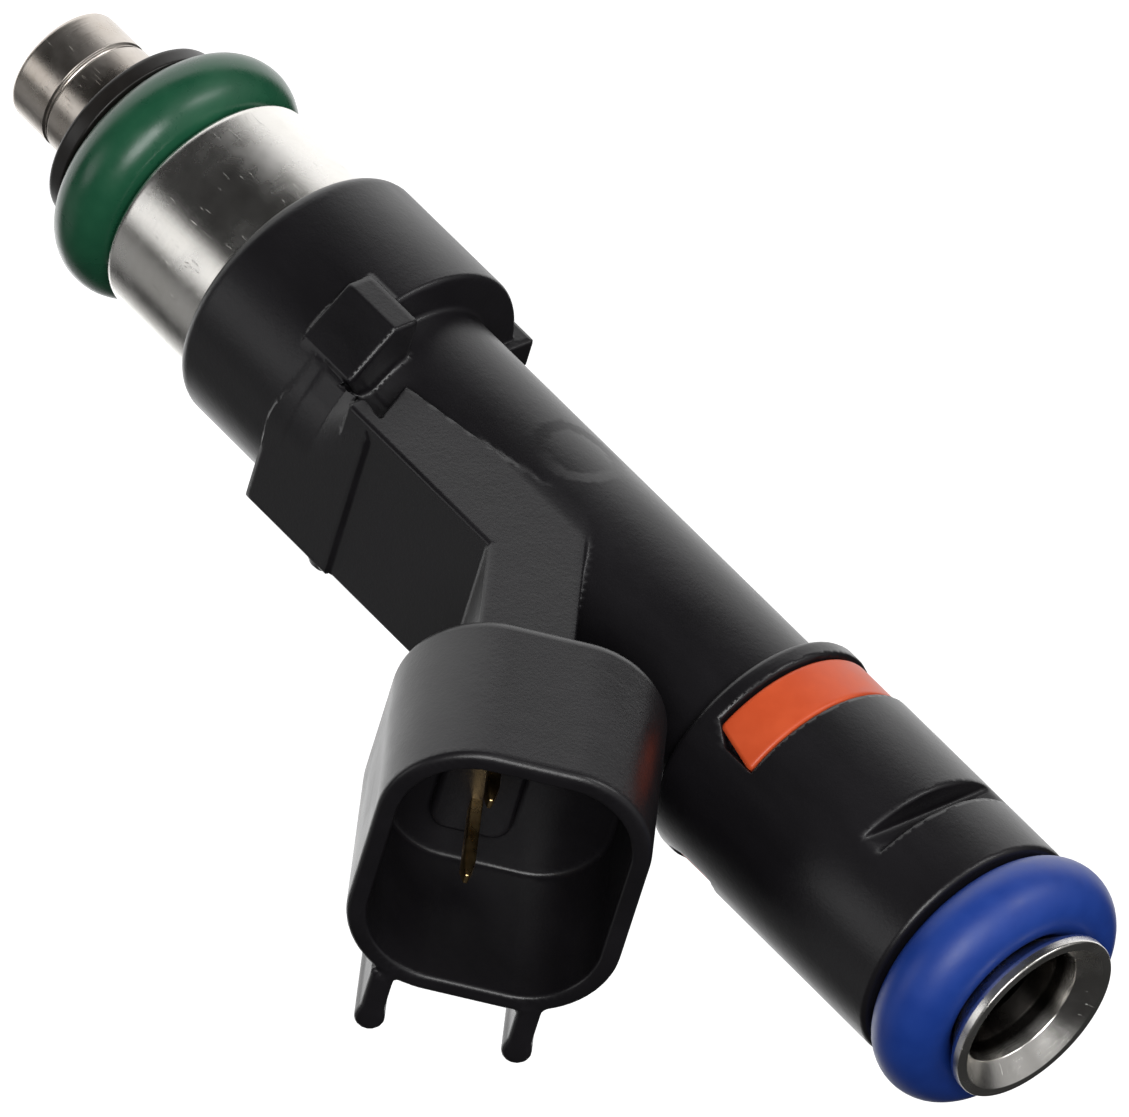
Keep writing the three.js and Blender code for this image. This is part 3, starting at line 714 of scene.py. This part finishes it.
# ---- materials ----------------------------------------------------------------------------------------
class Finish:
    """A procedural material on a piece's own coordinates."""

    def __init__(self, name, colour, roughness, metallic=0.0):
        self.material = bpy.data.materials.new(name)
        self.material.use_nodes = True
        self.material.diffuse_color = (*colour, 1)
        self.nodes = self.material.node_tree.nodes
        self.links = self.material.node_tree.links
        self.shader = self.nodes["Principled BSDF"]
        self.set("Base Color", (*colour, 1))
        self.set("Roughness", roughness)
        self.set("Metallic", metallic)
        self.place = self.node("ShaderNodeTexCoord").outputs["Object"]
        self.height = None

    def node(self, kind, **settings):
        made = self.nodes.new(kind)
        for key, value in settings.items():
            setattr(made, key, value)
        return made

    def set(self, socket, value):
        self.shader.inputs[socket].default_value = value

    def join(self, value, socket):
        """Feeds a socket with another node's output, a number or a colour."""
        if hasattr(value, "links"):
            self.links.new(value, socket)
        elif isinstance(value, tuple):
            socket.default_value = (*value, 1)
        else:
            socket.default_value = value

    def math(self, operation, a, b=0.0):
        made = self.node("ShaderNodeMath", operation=operation)
        self.join(a, made.inputs[0])
        self.join(b, made.inputs[1])
        return made.outputs[0]

    def stretched(self, scale=(1, 1, 1)):
        """The piece's own coordinates, scaled along each axis."""
        made = self.node("ShaderNodeMapping")
        self.links.new(self.place, made.inputs["Vector"])
        made.inputs["Scale"].default_value = scale
        return made.outputs["Vector"]

    def round_place(self):
        """Angle about Z, distance from it, and height."""
        split = self.node("ShaderNodeSeparateXYZ")
        self.links.new(self.place, split.inputs[0])
        x, y, z = (split.outputs[name] for name in "XYZ")
        angle = self.math("ARCTAN2", y, x)
        radius = self.math("SQRT", self.math("ADD", self.math("MULTIPLY", x, x), self.math("MULTIPLY", y, y)))
        return angle, radius, z

    def around(self, along, turned_by):
        """Coordinates that follow a round piece: the way round it, then its radius and height."""
        angle, radius, height = self.round_place()
        joined = self.node("ShaderNodeCombineXYZ")
        self.links.new(self.math("MULTIPLY", angle, turned_by), joined.inputs["X"])
        self.links.new(self.math("MULTIPLY", radius, along), joined.inputs["Y"])
        self.links.new(self.math("MULTIPLY", height, along), joined.inputs["Z"])
        return joined.outputs[0]

    def noise(self, vector, scale=1.0, detail=3.0, rough=0.6):
        made = self.node("ShaderNodeTexNoise")
        self.links.new(vector, made.inputs["Vector"])
        made.inputs["Scale"].default_value = scale
        made.inputs["Detail"].default_value = detail
        made.inputs["Roughness"].default_value = rough
        return made.outputs["Fac"]

    def ramp(self, value, low, high, from_low=0.3, from_high=0.7):
        made = self.node("ShaderNodeMapRange", clamp=True)
        self.links.new(value, made.inputs["Value"])
        made.inputs["From Min"].default_value = from_low
        made.inputs["From Max"].default_value = from_high
        made.inputs["To Min"].default_value = low
        made.inputs["To Max"].default_value = high
        return made.outputs["Result"]

    def blend(self, value, low_colour, high_colour):
        made = self.node("ShaderNodeMix", data_type="RGBA")
        self.links.new(value, made.inputs["Factor"])
        self.join(low_colour, made.inputs["A"])
        self.join(high_colour, made.inputs["B"])
        return made.outputs["Result"]

    def colour(self, value, low_colour, high_colour):
        self.links.new(self.blend(value, low_colour, high_colour), self.shader.inputs["Base Color"])

    def roughness(self, value, low, high):
        self.links.new(self.ramp(value, low, high), self.shader.inputs["Roughness"])

    def bump(self, value, depth):
        """Adds relief, with its depth in millimetres."""
        made = self.node("ShaderNodeBump")
        made.inputs["Distance"].default_value = depth * MM
        self.links.new(value, made.inputs["Height"])
        if self.height is not None:
            self.links.new(self.height, made.inputs["Normal"])
        self.height = made.outputs["Normal"]
        self.links.new(self.height, self.shader.inputs["Normal"])


def black_plastic():
    """Glass-filled nylon: a fine matte grain with faint flow marks."""
    f = Finish("black_plastic", (0.009, 0.0085, 0.0095), 0.4)
    grain = f.noise(f.stretched(), 5200, 4, 0.65)
    flow = f.noise(f.stretched((1, 1, 0.35)), 260, 4, 0.6)
    f.colour(f.ramp(flow, 0, 1), (0.0075, 0.0068, 0.0080), (0.0120, 0.0108, 0.0130))
    f.roughness(flow, 0.30, 0.40)
    f.bump(grain, 0.010)
    f.bump(f.noise(f.stretched(), 900, 3), 0.012)
    return f.material


def rubber(name, colour, dark, roughness):
    """Moulded rubber, slightly uneven in colour and gloss."""
    f = Finish(name, colour, roughness)
    patches = f.noise(f.stretched(), 450, 4, 0.6)
    f.colour(f.ramp(patches, 0, 1), dark, colour)
    f.roughness(patches, roughness - 0.06, roughness + 0.08)
    f.bump(f.noise(f.stretched(), 2600, 3), 0.006)
    f.set("Specular IOR Level", 0.55)
    return f.material


def turned_steel(name, bright, dark, roughness, tool_marks, depth):
    """Steel from the lathe: fine rings round the axis, dull patches and short scratches along it.

    Inside the fuel inlet the steel is painted near black: painted shade in the depth of the bore.
    """
    # painted shade: near-black colour for the steel deep inside the inlet's bore
    painted_bore_shade = (0.035, 0.032, 0.029)
    f = Finish(name, bright, roughness, 1.0)
    rings = f.noise(f.around(tool_marks, 0.6), 1.0, 4, 0.7)
    patches = f.noise(f.stretched(), 240, 5, 0.65)
    clean = f.blend(f.ramp(patches, 0, 1), dark, bright)
    _, radius, height = f.round_place()
    outside = f.ramp(radius, 0, 1, (MOUTH_R - 0.15) * MM, (MOUTH_R - 0.03) * MM)
    below = f.ramp(height, 1, 0, 40 * MM, 50 * MM)
    # painted shade: inside the mouth's radius and high up in the inlet, the steel takes the near-black colour
    # instead of its clean tone
    f.colour(f.math("MAXIMUM", outside, below), painted_bore_shade, clean)
    f.roughness(patches, roughness - 0.06, roughness + 0.12)
    f.bump(rings, depth)
    scratches = f.noise(f.around(700, 38), 1.0, 2, 0.5)
    f.bump(f.ramp(scratches, 0, 1, 0.70, 0.74), 0.006)
    return f.material


def satin_plastic(name, colour, dark, roughness):
    f = Finish(name, colour, roughness)
    patches = f.noise(f.stretched(), 380, 3)
    f.colour(f.ramp(patches, 0, 1), dark, colour)
    f.roughness(patches, roughness - 0.05, roughness + 0.08)
    f.bump(f.noise(f.stretched(), 2400, 3), 0.006)
    return f.material


def plated(name, bright, dark, roughness):
    f = Finish(name, bright, roughness, 1.0)
    patches = f.noise(f.stretched(), 900, 4)
    f.colour(f.ramp(patches, 0, 1), dark, bright)
    f.roughness(patches, roughness - 0.05, roughness + 0.1)
    f.bump(f.noise(f.stretched((0.3, 1, 0.3)), 6000, 2), 0.004)
    return f.material


# Bright colour, dull colour, roughness; a steel also has tool marks per metre and their depth in mm.
STEELS = {
    "steel": ((0.86, 0.84, 0.81), (0.66, 0.64, 0.60), 0.22, 26000, 0.004),
    "nozzle_steel": ((0.74, 0.69, 0.64), (0.42, 0.37, 0.32), 0.27, 9000, 0.008),
    "magnet_steel": ((0.50, 0.49, 0.47), (0.40, 0.39, 0.37), 0.4, 9000, 0.006),
    "ball_steel": ((0.78, 0.78, 0.78), (0.72, 0.72, 0.72), 0.12, 9000, 0.001),
    "spring_steel": ((0.56, 0.55, 0.53), (0.45, 0.44, 0.42), 0.32, 9000, 0.003),
}
PLASTICS = {
    "collar_plastic": ((0.020, 0.017, 0.015), (0.012, 0.010, 0.009), 0.38),
    "orange_plastic": ((0.85, 0.125, 0.035), (0.74, 0.095, 0.026), 0.42),
    "natural_plastic": ((0.66, 0.61, 0.48), (0.56, 0.52, 0.40), 0.5),
    "filter_mesh": ((0.72, 0.70, 0.62), (0.58, 0.56, 0.48), 0.7),
    "bobbin_plastic": ((0.030, 0.029, 0.028), (0.022, 0.021, 0.020), 0.5),
}
RUBBERS = {
    "blue_rubber": ((0.013, 0.060, 0.36), (0.010, 0.048, 0.31), 0.44),
    "green_rubber": ((0.018, 0.115, 0.056), (0.012, 0.090, 0.044), 0.28),
}
BRIGHT_METALS = {
    "gold_plate": ((0.86, 0.62, 0.30), (0.70, 0.46, 0.20), 0.26),
    "brass": ((0.70, 0.54, 0.27), (0.55, 0.41, 0.20), 0.34),
    "copper": ((0.66, 0.27, 0.13), (0.50, 0.18, 0.08), 0.3),
}
KINDS = ((turned_steel, STEELS), (satin_plastic, PLASTICS), (rubber, RUBBERS), (plated, BRIGHT_METALS))


def finish_everything(pieces):
    """Gives every new piece and every carried-over CAD node the material of its slot."""
    materials = {"black_plastic": black_plastic()}
    for make, looks in KINDS:
        for name, look in looks.items():
            materials[name] = make(name, *look)
    for piece in pieces:
        piece.data.materials.append(materials[piece["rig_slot"]])
    slots = {row["node"]: row["material_slot"] for row in frame["record"]["subparts"]}
    for node, piece in frame["nodes"].items():
        piece.data.materials.clear()
        piece.data.materials.append(materials[slots[node]])


# ---- stage, light and camera ----------------------------------------------------------------------------
def floor():
    """A round pale floor under the injector, kept out of its reflections."""
    radius, sides = 6.0, 96
    ground = TIP_Z * MM - 0.0002
    mesh = bpy.data.meshes.new("floor")
    angles = [2 * math.pi * i / sides for i in range(sides)]
    rim = [(radius * math.cos(angle), radius * math.sin(angle), ground) for angle in angles]
    mesh.from_pydata(rim, [], [tuple(range(sides))])
    disc = bpy.data.objects.new("floor", mesh)
    bpy.context.scene.collection.objects.link(disc)
    paper = Finish("floor_paper", (0.88, 0.88, 0.88), 0.9)
    paper.set("Emission Color", (1, 1, 1, 1))
    paper.set("Emission Strength", 0.9)
    disc.data.materials.append(paper.material)
    disc.visible_glossy = False
    disc.visible_diffuse = False
    disc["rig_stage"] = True


BACKDROP = 0.97
AMBIENT = 0.035
# Where the surroundings are bright: direction, cosine where the glow starts and is full, strength.
GLOWS = [
    ((-0.485, 0.121, -0.866), 0.54, 0.67, 1.35),
    ((0.878, -0.06, -0.47), 0.950, 0.99, 1.3),
    ((0.655, 0.59, -0.47), 0.93, 0.99, 0.3),
    ((-0.23, 0.85, -0.47), 0.88, 0.98, 0.5),
    ((-0.30, -0.75, 0.60), 0.55, 0.85, 0.35),
]


def surroundings():
    """A plain pale backdrop, with soft glows that only light and reflections see."""
    world = bpy.data.worlds.new("studio")
    bpy.context.scene.world = world
    world.use_nodes = True
    nodes, links = world.node_tree.nodes, world.node_tree.links
    background = nodes["Background"]
    background.inputs["Color"].default_value = (1, 1, 1, 1)
    direction = nodes.new("ShaderNodeTexCoord").outputs["Generated"]
    total = None
    for way, start, full, strength in GLOWS:
        facing = nodes.new("ShaderNodeVectorMath")
        facing.operation = "DOT_PRODUCT"
        links.new(direction, facing.inputs[0])
        facing.inputs[1].default_value = Vector(way).normalized()
        glow = nodes.new("ShaderNodeMapRange")
        glow.interpolation_type = "SMOOTHSTEP"
        links.new(facing.outputs["Value"], glow.inputs["Value"])
        for key, value in (("From Min", start), ("From Max", full), ("To Min", 0.0), ("To Max", strength)):
            glow.inputs[key].default_value = value
        add = nodes.new("ShaderNodeMath")
        links.new(glow.outputs["Result"], add.inputs[0])
        if total is None:
            add.inputs[1].default_value = AMBIENT
        else:
            links.new(total, add.inputs[1])
        total = add.outputs[0]
    seen = nodes.new("ShaderNodeLightPath").outputs["Is Camera Ray"]
    mix = nodes.new("ShaderNodeMix")
    links.new(seen, mix.inputs["Factor"])
    links.new(total, mix.inputs["A"])
    mix.inputs["B"].default_value = BACKDROP
    links.new(mix.outputs["Result"], background.inputs["Strength"])


def soft_box(name, way, distance, size, power):
    light = bpy.data.lights.new(name, "AREA")
    light.shape = "RECTANGLE"
    light.size, light.size_y = size
    light.energy = power
    lamp = bpy.data.objects.new(name, light)
    bpy.context.scene.collection.objects.link(lamp)
    middle_point = Vector((0, 0, 30 * MM))
    lamp.location = middle_point + Vector(way).normalized() * distance
    lamp.rotation_mode = "QUATERNION"
    lamp.rotation_quaternion = (lamp.location - middle_point).to_track_quat("Z", "Y")


def camera():
    """A long lens, turned about its own axis so that the injector lies across the picture."""
    azimuth, elevation, roll = math.radians(43.1), math.radians(28.2), math.radians(134.5)
    distance = 1.012
    across = math.cos(elevation)
    back = Vector((math.sin(azimuth) * across, -math.cos(azimuth) * across, math.sin(elevation)))
    level = Vector((math.cos(azimuth), math.sin(azimuth), 0))
    steep = back.cross(level)
    right = level * math.cos(roll) + steep * math.sin(roll)
    up = back.cross(right)
    low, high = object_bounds()
    aim = (low + high) / 2 + right * 7.36 * MM + up * 2.24 * MM
    lens = bpy.data.cameras.new("camera")
    lens.sensor_fit = "HORIZONTAL"
    lens.sensor_width = 36.0
    lens.lens = 637.7
    lens.clip_start, lens.clip_end = 0.05, 20.0
    holder = bpy.data.objects.new("camera", lens)
    bpy.context.scene.collection.objects.link(holder)
    turned_to = Matrix((right, up, back)).transposed().to_4x4()
    holder.matrix_world = Matrix.Translation(aim + back * distance) @ turned_to
    bpy.context.scene.camera = holder


# ---- the scene --------------------------------------------------------------------------------------------
bpy.context.scene.view_settings.view_transform = "Standard"
camera()
floor()
surroundings()
soft_box("key", (-0.34, -0.85, 0.40), 0.5, (0.25, 0.10), 0.5)
soft_box("front", (0.58, -0.62, 0.52), 0.5, (0.30, 0.18), 1.55)

pieces = [
    moulded_body(),
    inlet(),
    o_ring("inlet_seal", "inlet_oring", "blue_rubber"),
    coding_ring(),
    terminal_blade("terminal_left"),
    terminal_blade("terminal_right"),
    housing(),
    o_ring("nozzle_seal", "nozzle_oring", "green_rubber"),
    collar(),
    nozzle(),
]
finish_everything(pieces)
